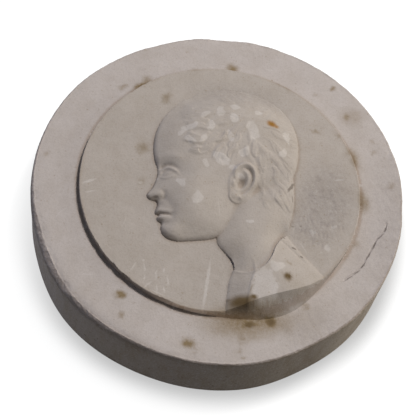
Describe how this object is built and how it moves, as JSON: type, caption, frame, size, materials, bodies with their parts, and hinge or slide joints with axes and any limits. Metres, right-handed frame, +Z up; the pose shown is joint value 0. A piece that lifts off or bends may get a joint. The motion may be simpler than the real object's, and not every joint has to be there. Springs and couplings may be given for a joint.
{
  "type": "plaster medallion",
  "caption": "Thick round plaster casting with a low raised disc that carries a child's head in profile, in low relief.",
  "frame": {"origin": "centre of the flat back, below the middle of the puck", "axes": "+Z up through the relief, +X to the right of the picture, +Y to the top of the head"},
  "size_m": [0.179, 0.1812, 0.0424],
  "materials": {
    "plaster": "matte"
  },
  "bodies": {
    "root": {"medallion": "plaster"}
  },
  "joints": []
}
